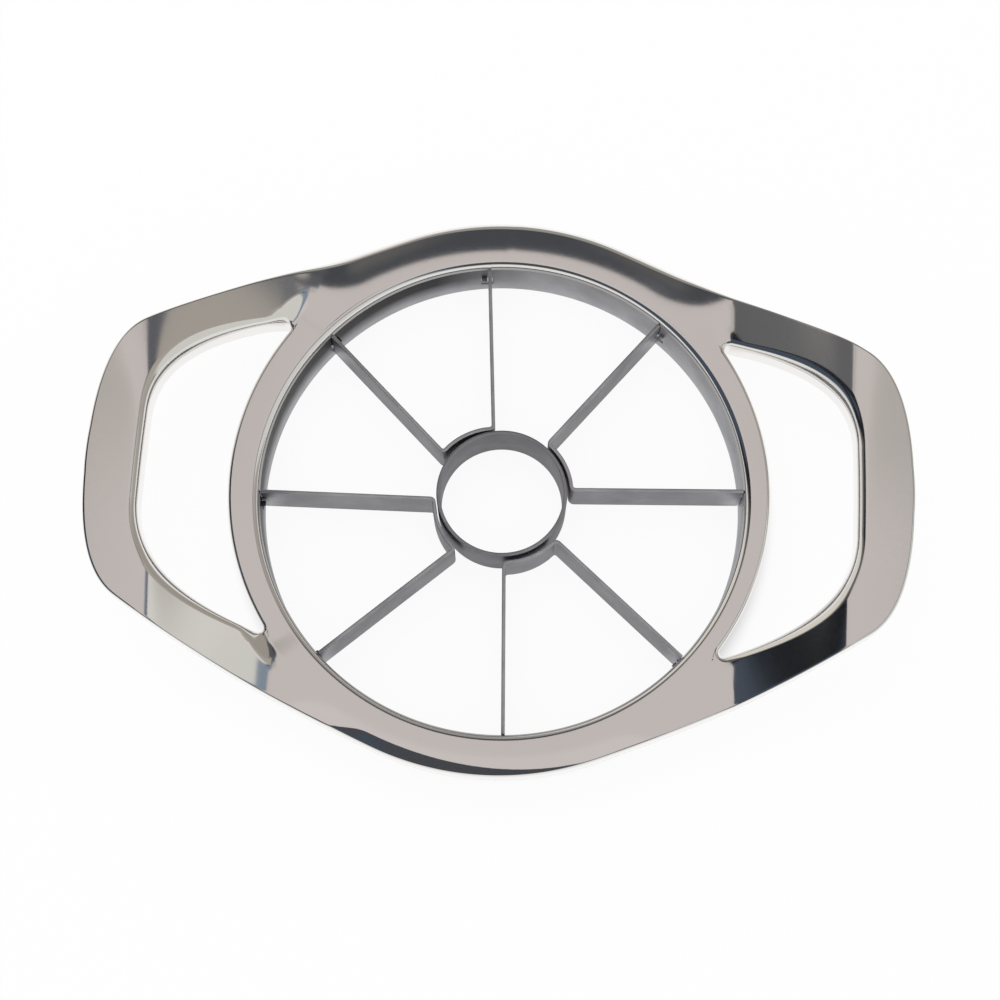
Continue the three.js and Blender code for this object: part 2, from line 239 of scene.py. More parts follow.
class NodeBench:
    """Adds and links the nodes of one material or world."""

    def __init__(self, tree: bpy.types.NodeTree) -> None:
        """Empties the tree and keeps it."""
        self.tree = tree
        tree.nodes.clear()

    def add(self, kind: str, inputs: dict | None = None, **settings: object) -> bpy.types.Node:
        """Adds a node.

        Args:
            kind: the node's type, without the leading words ShaderNode.
            inputs: input name or number to a value or to another node's output.
            settings: the node's own settings.

        Returns:
            The new node.
        """
        node = self.tree.nodes.new("ShaderNode" + kind)
        for key, value in settings.items():
            setattr(node, key, value)
        for key, value in (inputs or {}).items():
            if isinstance(value, Socket):
                self.tree.links.new(value, node.inputs[key])
            else:
                node.inputs[key].default_value = value
        return node

    def math(self, operation: str, first: object, second: object = 0.0) -> Socket:
        """A Math node's output for two values or sockets."""
        return self.add("Math", {0: first, 1: second}, operation=operation).outputs[0]

    def remap(self, value: Socket, span: Span, to: Span = (0.0, 1.0),
              ease: Ease = Ease.EVEN) -> Socket:
        """A Map Range node's output: the value's span drawn out to another one and held there."""
        inputs = {0: value, 1: span[0], 2: span[1], 3: to[0], 4: to[1]}
        return self.add("MapRange", inputs, interpolation_type=ease.value).outputs[0]

    def blend(self, share: Socket, first: object, second: object) -> Socket:
        """The first colour where the share is 0, the second where it is 1."""
        inputs = {0: share, 6: first, 7: second}
        return self.add("Mix", inputs, data_type="RGBA").outputs[2]

    def noise(self, place: Socket, scale: float, detail: float) -> Socket:
        """A Noise Texture's value at a place."""
        return self.add("TexNoise", {"Vector": place, "Scale": scale, "Detail": detail}).outputs[0]

    def stretched(self, place: Socket, scale: Axes) -> Socket:
        """A place scaled along each axis, which draws a pattern out."""
        return self.add("Mapping", {"Vector": place, "Scale": scale}).outputs[0]

    def bump(self, height: Socket, strength: float, **below: Socket) -> Socket:
        """A normal bent by a height of up to 1 mm, over the normal below it if there is one."""
        inputs = {"Height": height, "Strength": strength, "Distance": MM, **below}
        return self.add("Bump", inputs).outputs[0]

    def shades(self, first: Socket, second: Socket, share: object) -> Socket:
        """The first shader where the share is 0, the second where it is 1."""
        return self.add("MixShader", {0: share, 1: first, 2: second}).outputs[0]

    def metal(self, colour: Socket, roughness: Socket, relief: Socket) -> None:
        """Adds the metal's shader and the material's output."""
        shader = self.add("BsdfPrincipled", {"Base Color": colour, "Metallic": 1.0,
                                             "Roughness": roughness, "Normal": relief})
        self.add("OutputMaterial", {"Surface": shader.outputs[0]})


def fresh_material(name: str) -> tuple[Material, NodeBench, Socket]:
    """Makes an empty material.

    Args:
        name: its name.

    Returns:
        The material, its bench, and the socket that gives a place on the object.
    """
    made = bpy.data.materials.new(name)
    made.use_nodes = True
    bench = NodeBench(made.node_tree)
    return made, bench, bench.add("TexCoord").outputs["Object"]


@dataclass(frozen=True)
class PolishedMetal:
    """Mirror polish over fine polishing lines, with a slight wave left by the wheel."""

    colour: Colour = (0.95, 0.94, 0.93)
    shade: Colour = (0.93, 0.922, 0.915)
    roughness: Span = (0.07, 0.13)
    line_stretch: Axes = (1.0, 14.0, 6.0)
    line_scale: float = 900.0
    line_depth: float = 0.004
    cloud_scale: float = 55.0
    wave_scale: float = 38.0
    wave_depth: float = 0.05

    def material(self) -> Material:
        """Builds the material.

        Returns:
            The material.
        """
        made, bench, place = fresh_material("polished_metal")
        lines = bench.noise(bench.stretched(place, self.line_stretch), self.line_scale, 3.0)
        clouds = bench.noise(place, self.cloud_scale, 2.0)
        waves = bench.noise(place, self.wave_scale, 0.0)
        tint = bench.blend(clouds, linear(self.colour), linear(self.shade))
        relief = bench.bump(lines, self.line_depth, Normal=bench.bump(waves, self.wave_depth))
        bench.metal(tint, bench.remap(lines, NOISE_SPAN, self.roughness), relief)
        return made


@dataclass(frozen=True)
class SatinSteel:
    """Rolled strip: a dull grain along the strip and a few darker marks.

    Painted shade, as strong as the lip shade field, darkens it high up and on the left, where the
    frame's lip shades the wall.
    """

    name: str = "satin_steel"
    colour: Colour = (0.8, 0.8, 0.815)
    shade: Colour = (0.7, 0.7, 0.72)
    roughness: Span = (0.28, 0.42)
    grain_stretch: Axes = (1.0, 1.0, 10.0)
    grain_scale: float = 420.0
    grain_depth: float = 0.03
    mark_scale: float = 130.0
    marks_from: Span = (0.35, 0.75)
    # Painted shade under the frame's lip: its strength, its colour, and the heights and the
    # sideways reach, in millimetres, over which it fades in.
    painted_lip_shade: float = 0.0
    lip_shade_colour: Colour = (0.1, 0.1, 0.11)
    lip_shade_heights: Span = (2.0, 6.5)
    lip_shade_reach: Span = (4.0, -16.0)

    def material(self) -> Material:
        """Builds the material.

        Returns:
            The material.
        """
        made, bench, place = fresh_material(self.name)
        grain = bench.noise(bench.stretched(place, self.grain_stretch), self.grain_scale, 4.0)
        marks = bench.remap(bench.noise(place, self.mark_scale, 3.0), self.marks_from)
        tint = bench.blend(marks, linear(self.colour), linear(self.shade))
        # Painted shade: darker high up and towards the left, where the frame's lip shades the
        # blade ring's wall.
        if self.painted_lip_shade:
            axes = bench.add("SeparateXYZ", {0: place}).outputs
            high = bench.remap(axes[2], tuple(z * MM for z in self.lip_shade_heights))
            aside = bench.remap(axes[0], tuple(x * MM for x in self.lip_shade_reach))
            shaded = bench.math("MULTIPLY", high, aside)
            dull = bench.math("MULTIPLY", shaded, self.painted_lip_shade)
            tint = bench.blend(dull, tint, linear(self.lip_shade_colour))
        relief = bench.bump(grain, self.grain_depth)
        bench.metal(tint, bench.remap(grain, NOISE_SPAN, self.roughness), relief)
        return made


# The frame


@dataclass(frozen=True)
class Bends:
    """Where one handle leaves the ring's level and where it levels out again, from the middle.

    Both bends slant across the handle. The upper one sweeps outwards and softens towards the
    handle's back corner, and the arm between them is a little hollow.
    """

    foot: float
    foot_slant: float
    foot_soft: float
    top: float
    top_slant: float
    top_sweep: float
    top_soft: float
    top_gain: float
    hollow: float = 0.023
    sweep_from: float = 13.0
    sweep_ease: float = 5.0

    def share(self, reach: float, y: float) -> float:
        """How far the handle has risen.

        Args:
            reach: distance from the middle along the slicer.
            y: place across the handle.

        Returns:
            The share of the full rise.
        """
        def ramp(t: float, soft: float) -> float:
            """Zero well below zero and equal to t well above it."""
            return (t + math.hypot(t, soft)) / 2

        beyond = ramp(y - self.sweep_from, self.sweep_ease)
        foot = self.foot + self.foot_slant * y
        top = self.top + self.top_slant * y + self.top_sweep * beyond
        soft = self.top_soft + self.top_gain * beyond
        along = min(max((reach - foot) / (top - foot), 0), 1)
        risen = (ramp(reach - foot, self.foot_soft) - ramp(reach - top, soft)) / (top - foot)
        return risen - self.hollow * (4 * along * (1 - along)) ** 2


@dataclass(frozen=True)
class Apex:
    """Rounding of the hand hole's narrow end, and where it meets the ring and the arm."""

    centre: Vector
    ring_angle: float
    arm_point: Vector
    arm_angle: float


@dataclass
class CastFrame:
    """Ring and two raised loop handles, one casting.

    The plan is drawn for the quarter between the +X and +Y axes and mirrored. Every point
    is then lifted by the rise of the handles and lowered by the crown of the top face.
    Stretches of the ring are in degrees from +X, and the hand holes lie beyond the facet's.
    The steps and rows say how finely each part is drawn.
    """

    length: float = 166.4
    ring_radius: float = 59.7
    grip_width: float = 11.35
    bore_radius: float = 50.0
    seat_radius: float = 51.1
    hole_ring_radius: float = 56.0
    thickness: float = 6.0
    lip: float = 1.8
    lip_corner: float = 0.12

    rise: float = 10.8
    left: Bends = Bends(foot=42.7, foot_slant=-0.046, foot_soft=5.0,
                        top=70.75, top_slant=0.09, top_sweep=0.14, top_soft=1.5, top_gain=0.25)
    right: Bends = Bends(foot=48.7, foot_slant=-0.022, foot_soft=2.6,
                         top=70.2, top_slant=0.033, top_sweep=0.0, top_soft=1.8, top_gain=0.05)
    ring_to_arm: float = 4.0
    free_angles: Span = (38.0, 46.0)

    bore_fillet: float = 1.6
    outline_fillet: float = 0.5
    back_fillet: float = 1.9
    back_stretch: Stretch = (35, 60, 125, 145)
    ring_fillet: float = 0.8
    arm_fillet: float = 2.4
    apex_fillet: float = 1.3
    grip_fillet: float = 1.8
    under_fillet: float = 0.8

    crowns: tuple[tuple[Stretch, float], ...] = (((41, 56, 124, 137), 0.0215),
                                                 ((227, 240, 295, 307), 0.0218))
    crown_end: float = 7.5
    facet_stretch: Stretch = (236.5, 245.5, 250.0, 305.0)
    facet_width: float = 2.6
    facet_tilt: float = 0.17

    ring_arc_end: float = 67.6
    arm_bend_reach: float = 36.83
    arm_end: Span = (74.3, 29.46)
    corner_x: float = 82.25
    grip_flat: Span = (83.0, 5.0)
    apex_radius: float = 1.0
    hole_arm_angle: float = 17.3
    hole_arm_point: Span = (60.0, 29.25)
    hole_corner_x: float = 71.8
    hole_grip: Span = (71.75, 8.7)

    grip_steps: int = 10
    corner_steps: int = 24
    arm_steps: int = 24
    apex_steps: int = 16
    apex_shares: Span = (0.45, 0.3)
    arc_steps: int = 60
    arc_steps_on_arm: int = 36
    ring_side_steps: int = 36
    face_rows: int = 32
    fillet_rows: int = 7
    edge_row: float = 0.12
    broad_width: float = 8.0
    collar_width: float = 4.0
    apex: Apex = field(init=False)

    def __post_init__(self) -> None:
        """Finds the rounding between the hand hole's ring side and its arm."""
        run = polar(1, -math.radians(self.hole_arm_angle))
        normal = Vector((-run.y, run.x, 0))
        distance = normal.dot(Vector((*self.hole_arm_point, 0))) - self.apex_radius
        reach = self.hole_ring_radius + self.apex_radius
        centre = normal * distance + run * math.sqrt(reach ** 2 - distance ** 2)
        self.apex = Apex(centre, math.atan2(centre.y, centre.x),
                         centre + normal * self.apex_radius, math.atan2(normal.y, normal.x))

    def lift(self, point: Vector) -> float:
        """How far the handles have risen; the ring stays level beside the hand holes.

        Args:
            point: point of the plan.

        Returns:
            The rise, in millimetres.
        """
        bends = self.left if point.x < 0 else self.right
        slant = math.degrees(math.atan2(abs(point.y), abs(point.x)))
        free = smooth(slant, *self.free_angles)
        off_ring = smooth(point.xy.length - self.hole_ring_radius, 0, self.ring_to_arm)
        return self.rise * bends.share(abs(point.x), point.y) * (free + (1 - free) * off_ring)

    def sink(self, point: Vector, edge: float) -> float:
        """How far the face has dropped, by the ring's crowns and the facet on its front edge.

        Args:
            point: point of the plan.
            edge: its distance from the outline.

        Returns:
            The drop, in millimetres.
        """
        angle = compass(point)
        bent = sum(swell(angle, stretch) * per_mm for stretch, per_mm in self.crowns)
        inner = self.bore_radius + self.bore_fillet
        reach = max((point - BORE_CENTRE).length - inner, 0.0)
        curved = min(reach, self.crown_end)
        width = self.facet_width * swell(angle, self.facet_stretch)
        return bent * curved * (reach - curved / 2) + self.facet_tilt * max(width - edge, 0.0)

    def outline(self) -> Guided:
        """Draws the outline's quarter: grip, corner, arm and ring.

        Returns:
            Points from +X to +Y, each with its inward direction.
        """
        first = math.radians(self.ring_arc_end)
        arc_end = polar(self.ring_radius, first)
        arm_bend = arc_end + polar(self.arm_bend_reach, first - QUARTER_TURN)
        arm_end = Vector((*self.arm_end, 0))
        slope = (arm_end.y - arm_bend.y) / (arm_end.x - arm_bend.x)
        corner_y = arm_end.y + slope * (self.corner_x - arm_end.x)
        flat = Vector((*self.grip_flat, 0))
        start = Vector((self.length / 2, 0, 0))
        made = curve(start, Vector((start.x, flat.y / 2, 0)), flat, self.grip_steps)
        made += curve(flat, Vector((self.corner_x, corner_y, 0)), arm_end, self.corner_steps)
        high, low = self.apex_shares
        arm, apex, arc = self.arm_steps, self.apex_steps, self.arc_steps_on_arm
        shares = [1 - (1 - high) * i / arm for i in range(arm)]
        shares += [high - (high - low) * i / apex for i in range(apex)]
        shares += [low - low * i / arc for i in range(arc)]
        made += [bend(arm_end, arm_bend, arc_end, 1 - share) for share in shares]
        rest = self.arc_steps - arc
        for i in range(rest + 1):
            angle = first + (QUARTER_TURN - first) * i / rest
            made.append((polar(self.ring_radius, angle), polar(1, angle + QUARTER_TURN)))
        return [(point, Vector((-run.y, run.x, 0))) for point, run in made]

    def hole_arm(self) -> Guided:
        """Draws a quarter of the hand hole: grip, arm and apex.

        Returns:
            Points from +X to the ring, each with its direction out of the hole.
        """
        on_arm = Vector((*self.hole_arm_point, 0))
        flat = Vector((*self.hole_grip, 0))
        slope = -math.tan(math.radians(self.hole_arm_angle))
        corner_y = on_arm.y + slope * (self.hole_corner_x - on_arm.x)
        corner = Vector((self.hole_corner_x, corner_y, 0))
        first = Vector((self.length / 2 - self.grip_width, 0, 0))
        apex = self.apex
        made = curve(first, Vector((first.x, flat.y / 2, 0)), flat, self.grip_steps)
        made += curve(flat, corner, apex.arm_point, self.corner_steps + self.arm_steps)
        points = [(point, Vector((run.y, -run.x, 0))) for point, run in made]
        for i in range(self.apex_steps + 1):
            turned = (apex.ring_angle + math.pi - apex.arm_angle) * i / self.apex_steps
            angle = apex.arm_angle + turned
            points.append((apex.centre + polar(self.apex_radius, angle), polar(1, angle)))
        return points

    def ring_angles(self) -> tuple[list[float], list[float]]:
        """Angles of the ring's points in the first quarter, in radians.

        Returns:
            The angles beside the hand hole, and those from its apex to +Y.
        """
        first, beside, beyond = self.apex.ring_angle, self.ring_side_steps, self.arc_steps
        side = [first * i / beside for i in range(beside)]
        return side, [first + (QUARTER_TURN - first) * i / beyond for i in range(beyond + 1)]

    def circle(self, radius: float) -> Row:
        """Points of a whole circle round the middle, at the ring's angles."""
        quarter = [(polar(radius, a), polar(1, a)) for part in self.ring_angles() for a in part]
        return [point for point, _ in self.whole(quarter)]

    def hole_fillets(self) -> list[float]:
        """Rounding of the hand hole's upper edge.

        Returns:
            A radius for each point of hole_arm.
        """
        def fade(first: float, last: float, steps: int) -> list[float]:
            """Radii from the first towards the last, without the last."""
            return [first + (last - first) * smooth(i / steps, 0, 1) for i in range(steps)]

        radii = [self.grip_fillet] * self.grip_steps
        radii += fade(self.grip_fillet, self.arm_fillet, self.corner_steps)
        radii += fade(self.arm_fillet, self.apex_fillet, self.arm_steps)
        radii += fade(self.apex_fillet, self.ring_fillet, self.apex_steps)
        return radii + [self.ring_fillet]

    def outline_radius(self, point: Vector) -> float:
        """Rounding of the outline's upper edge at a point: larger along the back of the ring."""
        share = swell(compass(point), self.back_stretch)
        return self.outline_fillet + (self.back_fillet - self.outline_fillet) * share

    @staticmethod
    def mirrored(line: Guided, x: int, y: int) -> Guided:
        """A line whose points and directions are mirrored by the signs x and y."""
        return [(Vector((p.x * x, p.y * y, 0)), Vector((n.x * x, n.y * y, 0))) for p, n in line]

    def whole(self, quarter: Guided) -> Guided:
        """Mirrors a quarter, from +X to +Y, into a closed loop."""
        ahead, back = quarter[:-1], quarter[:0:-1]
        return (self.mirrored(ahead, 1, 1) + self.mirrored(back, -1, 1)
                + self.mirrored(ahead, -1, -1) + self.mirrored(back, 1, -1))

    def hole_loop(self, side: Side) -> tuple[Guided, list[float]]:
        """Draws the loop of one hand hole.

        Args:
            side: the handle.

        Returns:
            Its points with their directions into the metal, and the upper rounding at each.
        """
        ring = [(polar(self.hole_ring_radius, a), polar(-1, a)) for a in self.ring_angles()[0]]
        upper = self.hole_arm() + ring[::-1]
        radii = self.hole_fillets() + [self.ring_fillet] * len(ring)
        lower = self.mirrored(upper[-2:0:-1], 1, -1)
        return self.mirrored(upper + lower, side.value, side.value), radii + radii[-2:0:-1]

    def top(self, point: Vector, edge: float, drop: float = 0.0) -> Vector:
        """A point of the top face, at a distance from the outline, or a little below it."""
        height = FACE_HEIGHT + self.lift(point) - self.sink(point, edge) - drop
        return Vector((point.x, point.y, height))

    def under(self, point: Vector, rise: float = 0.0) -> Vector:
        """A point of the underside, or a little above it."""
        height = FACE_HEIGHT - self.thickness + self.lift(point) + rise
        return Vector((point.x, point.y, height))

    def fillet(self, radius: float) -> list[Span]:
        """Rows of a rounding: how far back from the edge, and how far down."""
        quarter = [QUARTER_TURN * i / self.fillet_rows for i in range(self.fillet_rows + 1)]
        return [(radius * (1 - math.sin(a)), radius * (1 - math.cos(a))) for a in quarter]

    def face_shares(self, width: float) -> list[float]:
        """Shares across a face, with a narrow row at each side that keeps its edges crisp."""
        narrow, rows = self.edge_row / width, self.face_rows
        return [0.0, narrow] + [i / rows for i in range(1, rows)] + [1 - narrow, 1.0]

    def bands(self, bm: BMesh, face: Face) -> None:
        """Draws one broad face: a collar round the bore and a band out to the outline.

        Args:
            bm: mesh that receives the faces.
            face: which of the two faces.
        """
        outline = self.whole(self.outline())
        if face is Face.TOP:
            hole_radii = self.hole_fillets()
            outline_radii = [self.outline_radius(point) for point, _ in outline]
            bore = self.bore_radius + self.bore_fillet
        else:
            hole_radii = [self.under_fillet] * len(self.hole_fillets())
            outline_radii = [self.under_fillet] * len(outline)
            bore = self.seat_radius + self.under_fillet
        middle = self.hole_ring_radius - hole_radii[-1]
        hole = [(p + n * r, n) for (p, n), r in zip(self.hole_arm(), hole_radii)]
        arc = [(polar(middle, a), polar(1, a)) for a in self.ring_angles()[1]]
        inner = self.whole(hole[:-1] + arc)
        outer = [(p + n * r, r) for (p, n), r in zip(outline, outline_radii)]
        broad = [[(p.lerp(q, s), (1 - s) * (q - p).length + r)
                  for (p, _), (q, r) in zip(inner, outer)]
                 for s in self.face_shares(self.broad_width)]
        collar = [[((p + BORE_CENTRE).lerp(q, s), WELL_INSIDE)
                   for p, q in zip(self.circle(bore), self.circle(middle))]
                  for s in self.face_shares(self.collar_width)]
        for band in (broad, collar):
            rows = [[self.top(p, edge) if face is Face.TOP else self.under(p)
                     for p, edge in row] for row in band]
            skin(bm, rows, Loop.CLOSED)

    def wall(self, bm: BMesh, loop: Guided, fillets: list[float]) -> None:
        """Draws the rounded edge, the wall and the lower rounding along a loop.

        Args:
            bm: mesh that receives the faces.
            loop: points of the loop, each with the direction into the metal.
            fillets: rounding of the upper edge at each point.
        """
        rows = []
        for i in range(self.fillet_rows + 1):
            row = []
            for (point, inward), radius in zip(loop, fillets):
                back, drop = self.fillet(radius)[i]
                row.append(self.top(point + inward * back, back, drop))
            rows.append(row)
        for back, drop in reversed(self.fillet(self.under_fillet)):
            rows.append([self.under(point + inward * back, drop) for point, inward in loop])
        skin(bm, rows, Loop.CLOSED)

    def bore(self, bm: BMesh) -> None:
        """Draws the bore: rounded edge, lip, seat of the blade ring and lower rounding.

        Args:
            bm: mesh that receives the faces.
        """
        seat = FACE_HEIGHT - self.lip
        under = FACE_HEIGHT - self.thickness
        bore, corner = self.bore_radius, self.lip_corner
        upper, lower = self.fillet(self.bore_fillet), self.fillet(self.under_fillet)
        profile = [(bore + back, FACE_HEIGHT - drop) for back, drop in upper]
        profile += [(bore, seat + corner), (bore + corner / 3, seat + corner / 3)]
        profile += [(bore + corner, seat), (self.seat_radius, seat)]
        profile += [(self.seat_radius + back, under + drop) for back, drop in reversed(lower)]
        rows = [[point + BORE_CENTRE + Vector((0, 0, height)) for point in self.circle(radius)]
                for radius, height in profile]
        skin(bm, rows, Loop.CLOSED)

    def build(self, material: Material) -> None:
        """Builds the frame.

        Args:
            material: its finish.
        """
        bm = bmesh.new()
        for face in Face:
            self.bands(bm, face)
        outline = self.whole(self.outline())
        fillets = [self.outline_radius(point) for point, _ in outline]
        self.wall(bm, outline, fillets)
        for side in Side:
            self.wall(bm, *self.hole_loop(side))
        self.bore(bm)
        close(bm)
        piece(bm, "polished_frame", material, "frame")


# Blade ring, core ring and strips


@dataclass(frozen=True)
class Strip:
    """Place of one bent strip, which runs in from the rim, round the hub and out again.

    Rim and hub hold its first and last angle there, in degrees, and proud holds how far it
    stands off the core ring at either end of the hub.
    """

    name: str
    rim: Span
    hub: Span
    proud: Span


STRIPS = (
    Strip("back", rim=(96.0, 139.1), hub=(100.1, 147.3), proud=(0.0, 1.0)),
    Strip("left", rim=(182.7, 225.4), hub=(188.1, 233.8), proud=(0.0, 1.3)),
    Strip("front", rim=(273.3, 319.5), hub=(274.7, 320.7), proud=(0.7, 1.0)),
    Strip("right", rim=(3.4, 51.1), hub=(5.6, 50.9), proud=(0.4, 0.3)),
)


@dataclass(frozen=True)
class WallSlot:
    """One slot through the blade ring's wall, and the middle of its flap, in radians."""

    begin: float
    end: float
    flap: float


@dataclass
class Cutter:
    """The blade ring, the core ring and the four bent strips between them.

    The angles among the sizes are in radians.
    """

    ring_inner: float = 50.15
    ring_wall: float = 0.75
    ring_top: float = 10.3
    ring_steps: int = 288
    ring_steps_from: float = 0.003
    ring_steps_apart: float = 0.006
    ring_edge_row: float = 0.3
    ring_rows: Span = (1.6, 8.0)

    blade_top: float = 11.3
    blade_thickness: float = 0.75
    blade_lift: float = 0.2
    blade_end: float = 49.85
    grind_height: float = 1.2
    edge_thickness: float = 0.12
    bend_radius: float = 0.9
    hub_steps: int = 12
    bend_steps: int = 5
    spoke_steps: int = 6

    core_inner: float = 12.75
    core_wall: float = 0.8
    core_top: float = 11.1
    core_gap: float = 0.15
    core_grind: Span = (0.25, 0.45)
    core_steps: int = 144

    tongue_height: float = 2.4
    tongue_middle: float = 4.4
    tongue_thickness: float = 0.7
    tip_facing: float = 0.9
    slot_clearance: float = 0.3
    slot_run: float = 1.2
    flap_length: float = 1.1
    flap_thickness: float = 0.45
    flap_reach: float = 0.8
    flap_root: float = 0.6
    flap_sag: float = 0.12
    edge_break: float = 0.1
    edge_facets: int = 2
    sharp: float = math.radians(40)

    def finish(self, bm: BMesh, node: str, material: Material) -> None:
        """Closes a mesh, rounds its sharp edges and makes it a satin piece.

        Args:
            bm: the mesh.
            node: the node that the piece replaces.
            material: its finish.
        """
        close(bm)
        sharp = [e for e in bm.edges if e.is_manifold and e.calc_face_angle() > self.sharp]
        bmesh.ops.bevel(bm, geom=sharp, offset=self.edge_break * MM, offset_type="OFFSET",
                        segments=self.edge_facets, profile=0.5, affect="EDGES", material=-1,
                        clamp_overlap=True)
        piece(bm, "satin_" + node, material, node)

    def slots(self) -> list[WallSlot]:
        """Finds the slots.

        Returns:
            One slot for each end of each strip.
        """
        made = []
        start = self.tongue_thickness / 2 + self.slot_clearance
        for strip in STRIPS:
            for angle, inward in zip(strip.rim, (1, -1)):
                ends = [math.radians(angle) + inward * across / self.ring_inner
                        for across in (-start, start + self.slot_run)]
                along = inward * (start + self.flap_length / 2) / self.ring_inner
                made.append(WallSlot(min(ends), max(ends), math.radians(angle) + along))
        return made

    def ring(self, material: Material) -> None:
        """Builds the blade ring with its slots and the flaps folded in over them.

        Args:
            material: its finish.
        """
        bm = bmesh.new()
        slots = self.slots()
        angles = [edge for slot in slots for edge in (slot.begin, slot.end)]
        for i in range(self.ring_steps):
            angle = FULL_TURN * i / self.ring_steps + self.ring_steps_from
            if all(abs(angle - edge) > self.ring_steps_apart for edge in angles):
                angles.append(angle)
        angles.sort()
        low = self.tongue_middle - self.tongue_height / 2 - self.slot_clearance
        high = self.tongue_middle + self.tongue_height / 2 + self.slot_clearance
        above_edge, below_top = self.ring_rows
        heights = [0.0, self.ring_edge_row, above_edge, low, (low + high) / 2, high,
                   below_top, self.ring_top - self.ring_edge_row, self.ring_top]
        skin(bm, [[polar(self.ring_inner, a) + BORE_CENTRE + Vector((0, 0, z)) for a in angles]
                  for z in heights], Loop.CLOSED)
        cut = []
        for face in bm.faces:
            middle = face.calc_center_median() / MM - BORE_CENTRE
            turn = math.atan2(middle.y, middle.x) % FULL_TURN
            if low < middle.z < high and any(slot.begin < turn < slot.end for slot in slots):
                cut.append(face)
        bmesh.ops.delete(bm, geom=cut, context="FACES")
        bmesh.ops.recalc_face_normals(bm, faces=bm.faces[:])
        outward = sum(f.normal.dot(f.calc_center_median() - BORE_CENTRE * MM) for f in bm.faces)
        wall = self.ring_wall * MM
        bmesh.ops.solidify(bm, geom=bm.faces[:], thickness=-wall if outward > 0 else wall)
        for slot in slots:
            self.flap(bm, slot.flap, high)
        self.finish(bm, "blade_ring", material)

    def flap(self, bm: BMesh, angle: float, height: float) -> None:
        """Draws the flap that the slot's cut folded inwards.

        Args:
            bm: mesh of the ring.
            angle: middle of the flap, in radians.
            height: top of the slot.
        """
        out, across = polar(1, angle), polar(1, angle + QUARTER_TURN)
        outer = self.ring_inner + self.ring_wall * self.flap_root
        inner = self.ring_inner - self.flap_reach
        half = self.flap_length / 2
        for vert in bmesh.ops.create_cube(bm, size=1.0)["verts"]:
            radius, sag = (outer, 0.0) if vert.co.x > 0 else (inner, self.flap_sag)
            place = out * radius + across * (half if vert.co.y > 0 else -half) + BORE_CENTRE
            place.z = height - sag + (self.flap_thickness if vert.co.z > 0 else 0.0)
            vert.co = place * MM

    def core(self, material: Material) -> None:
        """Builds the core ring by spinning its section round the bore axis.

        Args:
            material: its finish.
        """
        bm = bmesh.new()
        inner, outer = self.core_inner, self.core_inner + self.core_wall
        low, (ground, ground_height) = self.blade_lift, self.core_grind
        section = [(inner, low), (outer - ground, low), (outer, low + ground_height),
                   (outer, self.core_top), (inner, self.core_top)]
        line = [bm.verts.new((Vector((r, 0, z)) + BORE_CENTRE) * MM) for r, z in section]
        edges = [bm.edges.new(pair) for pair in zip(line, line[1:] + line[:1])]
        bmesh.ops.spin(bm, geom=line + edges, cent=BORE_CENTRE * MM, axis=(0, 0, 1),
                       dvec=(0, 0, 0), angle=FULL_TURN, steps=self.core_steps,
                       use_merge=True, use_duplicate=False)
        self.finish(bm, "core_ring", material)

    def path(self, strip: Strip) -> Row:
        """Draws a strip's mid line: in along one spoke, round the core ring and out again.

        Args:
            strip: its place.

        Returns:
            The line's points round the middle of the bore.
        """
        radius = self.core_inner + self.core_wall + self.core_gap + self.blade_thickness / 2
        (first_hub, last_hub), (first_proud, last_proud) = strip.hub, strip.proud
        arc = []
        for i in range(self.hub_steps + 1):
            share = i / self.hub_steps
            angle = math.radians(first_hub + (last_hub - first_hub) * share)
            arc.append(polar(radius + first_proud + (last_proud - first_proud) * share, angle))
        first, last = (polar(self.blade_end, math.radians(angle)) for angle in strip.rim)
        rounded = []
        for before, corner, after in ((first, arc[0], arc[2]), (arc[-3], arc[-1], last)):
            start = corner + (before - corner).normalized() * self.bend_radius
            end = corner + (after - corner).normalized() * self.bend_radius
            rounded.append([bend(start, corner, end, i / self.bend_steps)[0]
                            for i in range(self.bend_steps + 1)])
        steps = self.spoke_steps
        spoke_in = [first.lerp(rounded[0][0], i / steps) for i in range(steps)]
        spoke_out = [rounded[1][-1].lerp(last, i / steps) for i in range(1, steps + 1)]
        return spoke_in + rounded[0] + arc[2:-2] + rounded[1] + spoke_out

    @staticmethod
    def beside(path: Row, distance: float) -> Row:
        """Moves a path sideways, mitred at each corner.

        Args:
            path: the line's points.
            distance: how far to its left, in millimetres.

        Returns:
            The moved points.
        """
        moved = []
        for i, point in enumerate(path):
            before = (point - path[i - 1]) if i else (path[1] - point)
            after = (path[i + 1] - point) if i + 1 < len(path) else (point - path[i - 1])
            run = (before.normalized() + after.normalized()).normalized()
            mitre = distance / run.dot(before.normalized())
            moved.append(point + Vector((-run.y, run.x, 0)) * mitre)
        return moved

